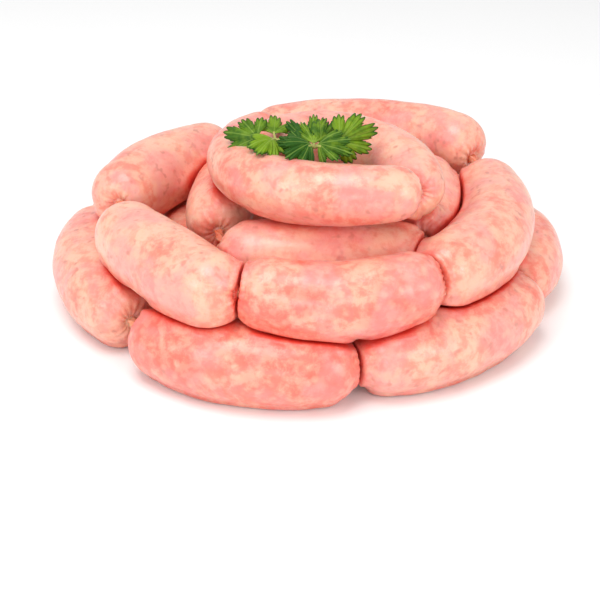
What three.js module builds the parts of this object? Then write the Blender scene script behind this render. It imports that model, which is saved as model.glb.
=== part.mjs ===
// A string of raw sausage links coiled in a round heap, with a sprig of parsley on top.
//
// The string is one chain of plump links. It starts in the heart of the heap and winds anticlockwise:
// an inner ring and an outer ring on the table, a second ring that lies on the outer one, a smaller
// ring inside that, and two links curled up on top. Every link is a solid of its own, and so is every
// twist of empty casing between two links. Links that lie against each other press each other flat.
//
// Lengths are in millimetres and angles in degrees. +Z is up, and -Y is the front of the heap.

import * as THREE from 'three';

// ---- Driving sizes --------------------------------------------------------------------------

const HEAP_AXIS = new THREE.Vector3(6, -28, 0);
const OUTER_REACH = 97; // from the heap's axis to the middle of a link in the outer ring
const INNER_REACH = 57; // the same for the ring inside it
const ON_TABLE = 15.5; // height of the middle of a link that lies on the table
const ON_FIRST = 44; // the same for a link on the first tier
const ON_SECOND = 70.4; // the same for a link on the second tier
const PLUMP = 31; // usual thickness of a link

const SETTLE = 1.1; // depth by which a link's weight flattens it on the table
const CONTACT_GAP = 1; // left between two links where they press on each other
const TAPER = 0.08; // share of its thickness that a link loses towards its ends
const TIP = 2.6; // radius of the gathered casing at a link's tip
const TWIST_WAIST = 1.8; // radius of a twist halfway along
const TWIST_GAP = 0.4; // left between a twist and the tips at its ends
const TWIST_ROOM = 3; // from the middle of a twist to the nearest link

const LINK_SIDES = 12;
const BODY_RINGS = 7; // rings of corners along the straight part of a link
const END_RINGS = 3; // rings of corners on each round end
const SAMPLES = 48; // points along a link at which its neighbours feel its thickness
const HALVINGS = 12; // steps in which a pressed corner finds its place
const TWIST_SIDES = 5;
const TWIST_RINGS = 4;

// ---- The links, in the order of the string ---------------------------------------------------
//
// bearing  where the link's middle lies round the heap's axis, anticlockwise from +X
// reach    distance of that middle from the axis
// height   height of that middle above the table
// turn     how far the link points inwards from running round the axis
// rise     its slope, upwards along the string
// bend     how far it curves to the left on its way
// hook     how much of the curve lies towards its second end
// roll     how far the plane that it curves in is tilted

const LINKS = [
  { bearing: 157, reach: INNER_REACH, bend: 60, length: 86 },
  { bearing: -110, reach: INNER_REACH, bend: 60, length: 88 },
  { bearing: -18, reach: INNER_REACH, bend: 60, length: 86 },
  { bearing: 71, reach: 60, turn: -15, bend: 35, length: 94 },

  { bearing: 143.5, reach: OUTER_REACH, turn: -6, bend: 34, length: 82 },
  { bearing: -167, reach: 98.5, height: 16, turn: 4, bend: 42, length: 97, girth: 33 },
  { bearing: -108, reach: 95, turn: 4, bend: 38, length: 92 },
  { bearing: -49.6, reach: 90, turn: -3, bend: 38, length: 97 },
  { bearing: 4, reach: OUTER_REACH, turn: -6, bend: 52, length: 80 },
  { bearing: 51, reach: OUTER_REACH, height: 18, rise: 5, bend: 32, length: 78 },
  { bearing: 97, reach: 93, height: 30, turn: 8, rise: 11, bend: 32, length: 80 },

  { bearing: 162, reach: 74.5, height: 45, turn: -18, rise: -2, bend: 26, length: 81, girth: 33 },
  { bearing: -132, reach: 88, height: ON_FIRST, turn: -7, bend: 13, roll: 45, length: 81, girth: 32 },
  { bearing: -84, reach: 87, height: 42, rise: 1, bend: 33, roll: 46, length: 79, girth: 30 },
  { bearing: -24, reach: 78, height: ON_FIRST, turn: 4, rise: 2, bend: 58, length: 106, girth: 32 },
  { bearing: 66, reach: 64, height: 52, turn: 5, rise: -5, bend: 50, hook: 0.2, length: 118 },

  { bearing: 174, reach: 40.5, height: 41, turn: -2, rise: 3, bend: 22, length: 79, girth: 30 },
  { bearing: -87, reach: 54, height: 42, turn: -3, rise: 1, bend: 6, length: 84, girth: 30 },
  { bearing: -11, reach: 50, height: 46, turn: 5, rise: 5, bend: 14, length: 64, girth: 27 },
  { bearing: 73, reach: 34, height: 45, turn: -5, rise: 10, bend: 30, length: 66, girth: 30 },

  { bearing: -114, reach: 39, height: ON_SECOND, turn: -31, rise: 5, bend: 135, hook: -0.2,
    length: 142, girth: 24 },
  { bearing: -42, reach: 24, height: ON_SECOND, turn: 102, rise: 4, bend: 110, length: 96, girth: 28.5 },
];

const LINK_DEFAULTS = {
  height: ON_TABLE, turn: 0, rise: 0, bend: 0, hook: 0, roll: 0, girth: PLUMP,
};

// ---- The parsley sprig -----------------------------------------------------------------------
//
// Leaves fan out from two forks of the stem. Each is a flat fan of lobes on a short stalk that points
// along its heading, and rises from the height of its fork to the height of its crown.

const LEAF_THICKNESS = 1.4;
const STALK_WIDTH = 1.3;
const SPRIG_GAP = 0.9; // left between the sprig and the links under it

const FORKS = [
  {
    at: new THREE.Vector3(4.2, -71, 84.6),
    leaves: [
      { heading: -147, stalk: 3, length: 13, width: 8, lobes: 3, crown: 86.5 },
      { heading: -98, stalk: 3, length: 14, width: 9, lobes: 3, crown: 87.5 },
      { heading: -46, stalk: 3, length: 14, width: 10, lobes: 3, crown: 88 },
      { heading: 4, stalk: 10, length: 16, width: 14, lobes: 5, crown: 88.5 },
      { heading: 42, stalk: 3, length: 13, width: 6, lobes: 3, crown: 90 },
      { heading: 86, stalk: 3, length: 14, width: 7, lobes: 3, crown: 92.3 },
      { heading: 128, stalk: 3, length: 12, width: 6, lobes: 3, crown: 89 },
    ],
  },
  {
    at: new THREE.Vector3(-16, -62.5, 84.6),
    leaves: [
      { heading: 66, stalk: 3, length: 13, width: 10, lobes: 3, crown: 88 },
      { heading: 165, stalk: 3, length: 14, width: 14, lobes: 5, crown: 84.5 },
      { heading: -99, stalk: 3, length: 15, width: 11, lobes: 3, crown: 85 },
    ],
  },
];

// ---- Geometry of a link -----------------------------------------------------------------------

const UP = new THREE.Vector3(0, 0, 1);
const rad = THREE.MathUtils.degToRad;

// The line through the middle of a link, as points with the link's radius at each of them.
function spineOf(link) {
  const bearing = rad(link.bearing);
  const centre = new THREE.Vector3(Math.cos(bearing), Math.sin(bearing), 0)
    .multiplyScalar(link.reach)
    .add(HEAP_AXIS)
    .setZ(link.height);
  const heading = rad(link.bearing + 90 + link.turn);
  const slope = rad(link.rise);
  const along = new THREE.Vector3(
    Math.cos(heading) * Math.cos(slope),
    Math.sin(heading) * Math.cos(slope),
    Math.sin(slope),
  );
  const left = new THREE.Vector3(-Math.sin(heading), Math.cos(heading), 0);
  const over = new THREE.Vector3().crossVectors(along, left);
  const side = left
    .clone()
    .multiplyScalar(Math.cos(rad(link.roll)))
    .addScaledVector(over, Math.sin(rad(link.roll)));

  const step = (link.length - link.girth) / SAMPLES;
  const track = [new THREE.Vector2(0, 0)];
  for (let i = 0; i < SAMPLES; i++) {
    const s = (i + 0.5) / SAMPLES - 0.5;
    const angle = rad(link.bend) * (s + link.hook * (s * s - 1 / 12));
    const last = track[i];
    track.push(new THREE.Vector2(last.x + step * Math.cos(angle), last.y + step * Math.sin(angle)));
  }
  const mean = new THREE.Vector2();
  track.forEach((p) => mean.addScaledVector(p, 1 / track.length));

  const points = track.map((p) =>
    centre
      .clone()
      .addScaledVector(along, p.x - mean.x)
      .addScaledVector(side, p.y - mean.y),
  );
  const radii = points.map((p, i) => {
    const fromMiddle = Math.abs((2 * i) / SAMPLES - 1);
    return (link.girth / 2) * (1 - TAPER * fromMiddle ** 3);
  });
  const facings = [
    points[0].clone().sub(points[1]).normalize(),
    points[SAMPLES].clone().sub(points[SAMPLES - 1]).normalize(),
  ];
  return { points, radii, facings };
}

// How far a point lies outside a link's round shape, or inside it if the result is negative.
function clearance(spine, point) {
  let least = Infinity;
  for (let i = 0; i < spine.points.length; i++) {
    least = Math.min(least, point.distanceTo(spine.points[i]) - spine.radii[i]);
  }
  return least;
}

function directionAt(spine, index) {
  const before = spine.points[Math.max(index - 1, 0)];
  const after = spine.points[Math.min(index + 1, spine.points.length - 1)];
  return after.clone().sub(before).normalize();
}

// True if the point is inside the link where its neighbours and the table have pressed it.
function staysInside(spine, neighbours, point) {
  if (point.z < SETTLE) {
    return false;
  }
  const own = clearance(spine, point);
  return neighbours.every((other) => own + CONTACT_GAP <= clearance(other, point));
}

// The farthest point from the spine towards the full radius that is still inside the link.
function pressedPoint(spine, neighbours, foot, ray) {
  const full = foot.clone().add(ray);
  if (staysInside(spine, neighbours, full)) {
    return full;
  }
  let inside = 0;
  let outside = 1;
  for (let i = 0; i < HALVINGS; i++) {
    const middle = (inside + outside) / 2;
    if (staysInside(spine, neighbours, foot.clone().addScaledVector(ray, middle))) {
      inside = middle;
    } else {
      outside = middle;
    }
  }
  return foot.clone().addScaledVector(ray, inside);
}

// A ring of corners round one point of the spine. Ahead moves it along the axis and off the point.
function ringRays(axis, side, over, ahead, radius) {
  const rays = [];
  for (let k = 0; k < LINK_SIDES; k++) {
    const angle = (2 * Math.PI * k) / LINK_SIDES;
    const ray = side.clone().multiplyScalar(Math.cos(angle) * radius);
    rays.push(ray.addScaledVector(over, Math.sin(angle) * radius).addScaledVector(axis, ahead));
  }
  return rays;
}

// The rings of one round end, from the body out to the flat tip. They lean over to face the twist.
function endRings(spine, atStart, side, over) {
  const index = atStart ? 0 : SAMPLES;
  const straight = directionAt(spine, index).multiplyScalar(atStart ? -1 : 1);
  const radius = spine.radii[index];
  const flattest = Math.acos(TIP / radius);
  const rings = [];
  for (let k = 1; k <= END_RINGS; k++) {
    const axis = straight.clone().lerp(spine.facings[atStart ? 0 : 1], k / END_RINGS).normalize();
    const lean = new THREE.Quaternion().setFromUnitVectors(straight, axis);
    const angle = (flattest * k) / END_RINGS;
    const rays = ringRays(
      axis,
      side.clone().applyQuaternion(lean),
      over.clone().applyQuaternion(lean),
      radius * Math.sin(angle),
      radius * Math.cos(angle),
    );
    rings.push({ index, rays });
  }
  return rings;
}

function linkGeometry(spine, neighbours) {
  const body = [];
  const frames = [];
  for (let k = 0; k < BODY_RINGS; k++) {
    const index = Math.round((SAMPLES * k) / (BODY_RINGS - 1));
    const along = directionAt(spine, index);
    const side = new THREE.Vector3().crossVectors(UP, along).normalize();
    const over = new THREE.Vector3().crossVectors(along, side);
    frames.push([side, over]);
    body.push({ index, rays: ringRays(along, side, over, 0, spine.radii[index]) });
  }
  const rings = [
    ...endRings(spine, true, ...frames[0]).reverse(),
    ...body,
    ...endRings(spine, false, ...frames[BODY_RINGS - 1]),
  ];
  const corners = rings.flatMap((ring) =>
    ring.rays.map((ray) => pressedPoint(spine, neighbours, spine.points[ring.index], ray)),
  );
  return closedTube(corners, LINK_SIDES);
}

// The middle of the flat tip at one end of a link.
function tipOf(spine, neighbours, atStart) {
  const index = atStart ? 0 : SAMPLES;
  const reach = Math.sqrt(spine.radii[index] ** 2 - TIP ** 2);
  const ray = spine.facings[atStart ? 0 : 1].clone().multiplyScalar(reach);
  return pressedPoint(spine, neighbours, spine.points[index], ray);
}

// A closed skin over rings of corners, with a flat lid on the first ring and on the last.
function closedTube(corners, sides) {
  const rings = corners.length / sides;
  const faces = [];
  for (let r = 0; r < rings - 1; r++) {
    for (let k = 0; k < sides; k++) {
      const a = r * sides + k;
      const b = r * sides + ((k + 1) % sides);
      faces.push(a, b, b + sides, a, b + sides, a + sides);
    }
  }
  const first = corners.slice(0, sides);
  const final = corners.slice(-sides);
  const lids = [first, final].map((ring) => {
    const middle = new THREE.Vector3();
    ring.forEach((p) => middle.addScaledVector(p, 1 / sides));
    return middle;
  });
  const all = [...corners, ...lids];
  for (let k = 0; k < sides; k++) {
    const next = (k + 1) % sides;
    faces.push(corners.length, next, k);
    faces.push(corners.length + 1, corners.length - sides + k, corners.length - sides + next);
  }
  const geometry = new THREE.BufferGeometry().setFromPoints(all);
  geometry.setIndex(faces);
  geometry.computeVertexNormals();
  return geometry;
}

// A solid that follows a curve, with the given radius at each of its rings.
function tubeAlong(curve, radii, sides) {
  const frames = curve.computeFrenetFrames(radii.length - 1);
  const corners = radii.flatMap((radius, r) => {
    const middle = curve.getPointAt(r / (radii.length - 1));
    return Array.from({ length: sides }, (unused, k) => {
      const angle = (2 * Math.PI * k) / sides;
      return middle
        .clone()
        .addScaledVector(frames.normals[r], Math.cos(angle) * radius)
        .addScaledVector(frames.binormals[r], Math.sin(angle) * radius);
    });
  });
  return closedTube(corners, sides);
}

// The point moved straight out of the links that it is too close to.
function liftedClear(point, spines, margin) {
  const lifted = point.clone();
  for (let pass = 0; pass < 8; pass++) {
    for (const spine of spines) {
      const lack = margin - clearance(spine, lifted);
      if (lack > 0) {
        const distances = spine.points.map((p) => p.distanceTo(lifted));
        const nearest = spine.points[distances.indexOf(Math.min(...distances))];
        lifted.addScaledVector(lifted.clone().sub(nearest).normalize(), lack);
      }
    }
  }
  return lifted;
}

// ---- A twist between two links ---------------------------------------------------------------

// Turns the ends of two links in a row towards the free spot where their twist finds room.
function faceEachOther(before, after, spines) {
  const starts = [before.points[SAMPLES], after.points[0]];
  const tips = [
    starts[0].clone().addScaledVector(before.facings[1], before.radii[SAMPLES]),
    starts[1].clone().addScaledVector(after.facings[0], after.radii[0]),
  ];
  const meeting = liftedClear(tips[0].lerp(tips[1], 0.5), spines, TWIST_ROOM);
  before.facings[1] = meeting.clone().sub(starts[0]).normalize();
  after.facings[0] = meeting.clone().sub(starts[1]).normalize();
  return meeting;
}

function twistGeometry(before, after, meeting) {
  const curve = new THREE.QuadraticBezierCurve3(
    before.tip.clone().addScaledVector(before.facing, TWIST_GAP),
    meeting,
    after.tip.clone().addScaledVector(after.facing, TWIST_GAP),
  );
  const radii = [];
  for (let i = 0; i <= TWIST_RINGS; i++) {
    const fromMiddle = Math.abs((2 * i) / TWIST_RINGS - 1);
    radii.push(TWIST_WAIST + (0.92 * TIP - TWIST_WAIST) * fromMiddle ** 2);
  }
  return tubeAlong(curve, radii, TWIST_SIDES);
}

// ---- The sprig --------------------------------------------------------------------------------

// The outline of a leaf one unit long and one wide, which points along +X from its foot.
function leafOutline(lobes) {
  const fan = lobes === 3 ? 110 : 170;
  const half = fan / lobes / 2;
  const outline = [];
  for (let i = 0; i < lobes; i++) {
    const heading = fan * ((i + 0.5) / lobes - 0.5);
    const size = 1 - 0.25 * Math.abs(heading / 90);
    const corners = [[-0.55 * half, 0.84], [0, 1], [0.55 * half, 0.84]];
    if (i < lobes - 1) {
      corners.push([half, 0.62]);
    }
    for (const [aside, share] of corners) {
      const angle = rad(heading + aside);
      outline.push(new THREE.Vector2(Math.cos(angle), Math.sin(angle)).multiplyScalar(size * share));
    }
  }
  const widest = 2 * Math.max(...outline.map((p) => p.y));
  return outline.map((p) => new THREE.Vector2(p.x, p.y / widest));
}

// One leaf with its stalk, seen from above: down the stalk's right side, round the fan and back.
function leafCorners(leaf, fork) {
  const right = new THREE.Vector2(0, -STALK_WIDTH / 2);
  const flat = [
    new THREE.Vector2(0.8 * leaf.stalk, 0).add(right),
    ...leafOutline(leaf.lobes).map(
      (p) => new THREE.Vector2(leaf.stalk + p.x * leaf.length, p.y * leaf.width),
    ),
    new THREE.Vector2(0.8 * leaf.stalk, 0).sub(right),
  ];
  const heading = rad(leaf.heading);
  return flat.map((p) => {
    const share = p.length() / (leaf.stalk + leaf.length);
    const turned = p.clone().rotateAround(new THREE.Vector2(), heading);
    const height = THREE.MathUtils.lerp(fork.at.z, leaf.crown, share);
    return new THREE.Vector3(fork.at.x + turned.x, fork.at.y + turned.y, height);
  });
}

// The point raised straight up until it is far enough from every link.
function raisedClear(point, spines, margin) {
  const raised = point.clone();
  while (spines.some((spine) => clearance(spine, raised) < margin)) {
    raised.z += 0.1;
  }
  return raised;
}

// A thin plate in the outline of the whole sprig, laid over the links under it.
function sprigGeometry(spines) {
  const [head, tail] = FORKS.map((fork) => fork.leaves.flatMap((leaf) => leafCorners(leaf, fork)));
  const stem = FORKS[0].at.clone().sub(FORKS[1].at).setZ(0).normalize();
  const aside = new THREE.Vector3(-stem.y, stem.x, 0).multiplyScalar(STALK_WIDTH / 2);
  const halfway = FORKS[0].at.clone().lerp(FORKS[1].at, 0.5);
  const outline = [...head, halfway.clone().add(aside), ...tail, halfway.clone().sub(aside)];
  const laid = outline.map((p) => raisedClear(p, spines, LEAF_THICKNESS / 2 + SPRIG_GAP));
  const flat = laid.map((p) => new THREE.Vector2(p.x, p.y));
  const count = laid.length;
  const faces = THREE.ShapeUtils.triangulateShape(flat, []).flatMap(([a, b, c]) => [
    a, b, c, count + a, count + c, count + b,
  ]);
  laid.forEach((p, k) => {
    const next = (k + 1) % count;
    faces.push(k, count + k, count + next, k, count + next, next);
  });
  const thick = new THREE.Vector3(0, 0, LEAF_THICKNESS / 2);
  const corners = [...laid.map((p) => p.clone().add(thick)), ...laid.map((p) => p.clone().sub(thick))];
  const geometry = new THREE.BufferGeometry().setFromPoints(corners);
  geometry.setIndex(faces);
  geometry.computeVertexNormals();
  return geometry;
}

// ---- The heap ---------------------------------------------------------------------------------

function build() {
  const casing = new THREE.MeshStandardMaterial({ color: 0xf2b3a4, roughness: 0.42, metalness: 0 });
  const knot = new THREE.MeshStandardMaterial({ color: 0xecc4a8, roughness: 0.38, metalness: 0 });
  const parsley = new THREE.MeshStandardMaterial({ color: 0x4e8a2c, roughness: 0.6, metalness: 0 });
  const heap = new THREE.Group();

  const spines = LINKS.map((link) => spineOf({ ...LINK_DEFAULTS, ...link }));
  const meetings = spines.slice(1).map((after, i) => faceEachOther(spines[i], after, spines));
  const number = (i) => String(i + 1).padStart(2, '0');
  const othersThan = (spine) => spines.filter((other) => other !== spine);
  const endOf = (spine, atStart) => ({
    tip: tipOf(spine, othersThan(spine), atStart),
    facing: spine.facings[atStart ? 0 : 1],
  });

  spines.forEach((spine, i) => {
    const mesh = new THREE.Mesh(linkGeometry(spine, othersThan(spine)), casing);
    mesh.name = `link_${number(i)}`;
    heap.add(mesh);
  });
  meetings.forEach((meeting, i) => {
    const ends = [endOf(spines[i], false), endOf(spines[i + 1], true)];
    const mesh = new THREE.Mesh(twistGeometry(...ends, meeting), knot);
    mesh.name = `twist_${number(i)}`;
    heap.add(mesh);
  });
  const sprig = new THREE.Mesh(sprigGeometry(spines), parsley);
  sprig.name = 'parsley_sprig';
  heap.add(sprig);

  // The part's origin is the middle of the heap's underside.
  const box = new THREE.Box3().setFromObject(heap, true);
  const middle = box.getCenter(new THREE.Vector3());
  heap.position.set(-middle.x, -middle.y, -box.min.z);
  const part = new THREE.Group();
  part.add(heap);
  return part;
}

export default build();
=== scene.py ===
"""A string of raw sausage links coiled in a heap, with a sprig of parsley on top.

The links, the twists of casing between them and the sprig are modelled here in fine detail, over the
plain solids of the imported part. Shapes are worked out in millimetres and become meshes in metres.
"""

import logging
import math
from dataclasses import dataclass, field
from enum import Enum

import bmesh
import bpy
import numpy as np
from mathutils import Matrix, Vector, noise


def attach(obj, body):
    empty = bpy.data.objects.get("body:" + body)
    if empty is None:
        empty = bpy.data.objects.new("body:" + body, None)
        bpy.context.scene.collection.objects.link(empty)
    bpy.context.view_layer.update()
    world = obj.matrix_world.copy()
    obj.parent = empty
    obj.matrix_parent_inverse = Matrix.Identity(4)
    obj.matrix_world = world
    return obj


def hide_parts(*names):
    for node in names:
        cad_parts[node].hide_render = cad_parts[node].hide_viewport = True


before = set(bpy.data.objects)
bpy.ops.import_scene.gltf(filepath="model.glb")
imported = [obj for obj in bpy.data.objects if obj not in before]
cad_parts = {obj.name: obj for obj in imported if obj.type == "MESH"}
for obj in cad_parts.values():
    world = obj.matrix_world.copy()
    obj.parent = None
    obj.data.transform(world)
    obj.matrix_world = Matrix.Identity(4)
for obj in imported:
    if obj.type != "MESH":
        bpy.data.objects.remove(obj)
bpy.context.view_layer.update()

log = logging.getLogger("sausage_string")

MM = 0.001
ORIGIN = np.array([-4.236, 27.338, -1.101])  # added to a place to measure it from the part's origin
HEAP_AXIS = np.array([6.0, -28.0, 0.0])

Place = tuple[float, float, float]


# ---- Sizes of the string ----


class Tier(Enum):
    """Heights of the middles of the links, in millimetres over the table."""

    TABLE = 15.5
    FIRST = 44.0
    SECOND = 70.4


class Tone(Enum):
    """How deep the colour of a link's filling is, from pale cream to rosy orange. It is partly the
    filling's own colour and partly painted light: links that lie in shade were given paler tones.
    """

    PALE = 0.0
    FRESH = 0.22
    PINK = 0.58
    RUDDY = 0.66


@dataclass(frozen=True)
class Link:
    """Where one link lies in the coil and how it is shaped.

    Angles are in degrees. The bearing places its middle round the heap's axis, anticlockwise from
    +X. Turn points it inwards, rise upwards, and bend curves it to the left. Hook moves the curve to
    its second end and roll tilts the plane of the curve.
    """

    bearing: float
    reach: float
    length: float
    bend: float
    height: float = Tier.TABLE.value
    turn: float = 0.0
    rise: float = 0.0
    hook: float = 0.0
    roll: float = 0.0
    girth: float = 31.0
    tone: Tone = Tone.FRESH


LINKS: tuple[Link, ...] = (
    Link(157, 57, 86, 60),
    Link(-110, 57, 88, 60, tone=Tone.RUDDY),
    Link(-18, 57, 86, 60),
    Link(71, 60, 94, 35, turn=-15),
    Link(143.5, 97, 82, 34, turn=-6),
    Link(-167, 98.5, 97, 42, height=16, turn=4, girth=33),
    Link(-108, 95, 92, 38, turn=4, tone=Tone.RUDDY),
    Link(-49.6, 90, 97, 38, turn=-3),
    Link(4, 97, 80, 52, turn=-6),
    Link(51, 97, 78, 32, height=18, rise=5),
    Link(97, 93, 80, 32, height=30, turn=8, rise=11, tone=Tone.PALE),
    Link(162, 74.5, 81, 26, height=45, turn=-18, rise=-2, girth=33, tone=Tone.PALE),
    Link(-132, 88, 81, 13, height=Tier.FIRST.value, turn=-7, roll=45, girth=32, tone=Tone.PALE),
    Link(-84, 87, 79, 33, height=42, rise=1, roll=46, girth=30, tone=Tone.PINK),
    Link(-24, 78, 106, 58, height=Tier.FIRST.value, turn=4, rise=2, girth=32, tone=Tone.PALE),
    Link(66, 64, 118, 50, height=52, turn=5, rise=-5, hook=0.2),
    Link(174, 40.5, 79, 22, height=41, turn=-2, rise=3, girth=30, tone=Tone.PALE),
    Link(-87, 54, 84, 6, height=42, turn=-3, rise=1, girth=30, tone=Tone.PALE),
    Link(-11, 50, 64, 14, height=46, turn=5, rise=5, girth=27, tone=Tone.PALE),
    Link(73, 34, 66, 30, height=45, turn=-5, rise=10, girth=30),
    Link(-114, 39, 142, 135, height=Tier.SECOND.value, turn=-31, rise=5, hook=-0.2, girth=24),
    Link(-42, 24, 96, 110, height=Tier.SECOND.value, turn=102, rise=4, girth=28.5, tone=Tone.PALE),
)


# ---- Small helpers ----


def unit(vectors: np.ndarray) -> np.ndarray:
    """Scale a vector, or each row of an array of them, to length one."""
    return vectors / np.linalg.norm(vectors, axis=-1, keepdims=True)


def smooth_step(low: float, high: float, value: np.ndarray | float) -> np.ndarray | float:
    """Rise smoothly from 0 at low to 1 at high."""
    share = np.clip((value - low) / (high - low), 0.0, 1.0)
    return share * share * (3.0 - 2.0 * share)


def soft_min(a: np.ndarray | float, b: np.ndarray | float, width: float) -> np.ndarray | float:
    """Take the smaller of two lengths, with the corner between them rounded over a width."""
    blend = np.clip(0.5 + 0.5 * (b - a) / width, 0.0, 1.0)
    return b + (a - b) * blend - width * blend * (1.0 - blend)


def turn_between(start: np.ndarray, end: np.ndarray) -> np.ndarray:
    """Give the matrix of the shortest turn from one direction to another."""
    return np.array(Vector(start).rotation_difference(Vector(end)).to_matrix())


def turned(direction: np.ndarray, axis: np.ndarray, angle: float) -> np.ndarray:
    """Turn a direction that stands square to an axis round it by an angle in radians."""
    return direction * math.cos(angle) + np.cross(axis, direction) * math.sin(angle)


def ring_and_angle(vert: bmesh.types.BMVert, rings: int) -> tuple[int, float]:
    """Tell which ring of a unit sphere a point is on, from 0 at its top, and its angle round it."""
    ring = round(rings * math.acos(max(-1.0, min(1.0, vert.co.z))) / math.pi)
    return ring, math.atan2(vert.co.y, vert.co.x)


def to_part(place: np.ndarray) -> np.ndarray:
    """Turn a place in millimetres into one in metres from the part's origin."""
    return (place + ORIGIN) * MM


def new_object(name: str, builder: bmesh.types.BMesh) -> bpy.types.Object:
    """Turn a bmesh, which is used up, into an object of the scene."""
    mesh = bpy.data.meshes.new(name)
    builder.to_mesh(mesh)
    builder.free()
    made = bpy.data.objects.new(name, mesh)
    bpy.context.scene.collection.objects.link(made)
    return made


def finished_piece(name: str, builder: bmesh.types.BMesh) -> bpy.types.Object:
    """Make a smooth piece of a bmesh, which is used up, and let it ride on the part's body."""
    for face in builder.faces:
        face.smooth = True
    builder.normal_update()
    bmesh.ops.recalc_face_normals(builder, faces=builder.faces)
    piece = new_object(name, builder)
    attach(piece, "root")
    return piece


# ---- The middle line of a link ----


@dataclass
class Spine:
    """The line through a link, with the link's radius at each of its points."""

    points: np.ndarray
    radii: np.ndarray
    facings: list[np.ndarray]

    SAMPLES = 48
    TAPER = 0.08  # how much thinner a link is at its ends

    @classmethod
    def of(cls, link: Link) -> "Spine":
        """Lay out the spine of a link in the heap.

        Args:
            link: The link's place and shape.

        Returns:
            Its spine, in millimetres from the heap's measuring point.
        """
        bearing = math.radians(link.bearing)
        centre = HEAP_AXIS + [link.reach * math.cos(bearing), link.reach * math.sin(bearing), link.height]
        heading = math.radians(link.bearing + 90 + link.turn)
        slope = math.radians(link.rise)
        along = np.array([
            math.cos(heading) * math.cos(slope), math.sin(heading) * math.cos(slope), math.sin(slope)
        ])
        left = np.array([-math.sin(heading), math.cos(heading), 0.0])
        side = turned(left, along, math.radians(link.roll))

        step = (link.length - link.girth) / cls.SAMPLES
        share = (np.arange(cls.SAMPLES) + 0.5) / cls.SAMPLES - 0.5
        angle = math.radians(link.bend) * (share + link.hook * (share * share - 1 / 12))
        points = centre
        for sweep, direction in ((np.cos, along), (np.sin, side)):
            track = np.concatenate([[0.0], np.cumsum(step * sweep(angle))])
            points = points + np.outer(track - track.mean(), direction)
        from_middle = np.abs(np.linspace(-1.0, 1.0, cls.SAMPLES + 1))
        radii = link.girth / 2 * (1 - cls.TAPER * from_middle**3)
        facings = [unit(points[0] - points[1]), unit(points[-1] - points[-2])]
        return cls(points, radii, facings)

    def clearance(self, places: np.ndarray) -> np.ndarray:
        """Tell how far each place lies outside the round link, or inside it if negative."""
        apart = np.linalg.norm(places[:, None, :] - self.points[None, :, :], axis=2)
        return (apart - self.radii).min(axis=1)

    def tip(self, end: int, reach: float) -> np.ndarray:
        """Give the place at a distance out from the first end, 0, or the last end, 1."""
        return self.points[-end] + self.facings[end] * reach

    def nearest(self, place: np.ndarray) -> np.ndarray:
        """Find the spine point nearest to a place."""
        return self.points[np.linalg.norm(self.points - place, axis=1).argmin()]

    def frame_at(self, index: int) -> tuple[np.ndarray, np.ndarray, np.ndarray]:
        """Give the directions along, to the side of and over the spine at one of its points."""
        before, after = max(index - 1, 0), min(index + 1, self.SAMPLES)
        along = unit(self.points[after] - self.points[before])
        side = unit(np.cross([0.0, 0.0, 1.0], along))
        return along, side, np.cross(along, side)


def lifted_clear(place: np.ndarray, spines: list[Spine], margin: float, rounds: int = 8) -> np.ndarray:
    """Move a place straight out of the links that it is too close to.

    Args:
        place: A place in millimetres.
        spines: The links.
        margin: The least distance to keep from each of them.
        rounds: How often each link is tried.

    Returns:
        The moved place.
    """
    lifted = place.copy()
    for _ in range(rounds):
        for spine in spines:
            lack = margin - spine.clearance(lifted[None, :])[0]
            if lack > 0:
                lifted = lifted + unit(lifted - spine.nearest(lifted)) * lack
    return lifted


# ---- Links ----


@dataclass(frozen=True)
class Bumps:
    """Smooth bumps of one height and width in millimetres, which differ from link to link."""

    height: float
    width: float
    shift: float

    def at(self, places: np.ndarray, number: int) -> np.ndarray:
        """Give the bumps' height at each place, one a row, on a numbered link."""
        scaled = places / self.width + self.shift * number
        return self.height * np.array([noise.noise(Vector(place)) for place in scaled])


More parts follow.
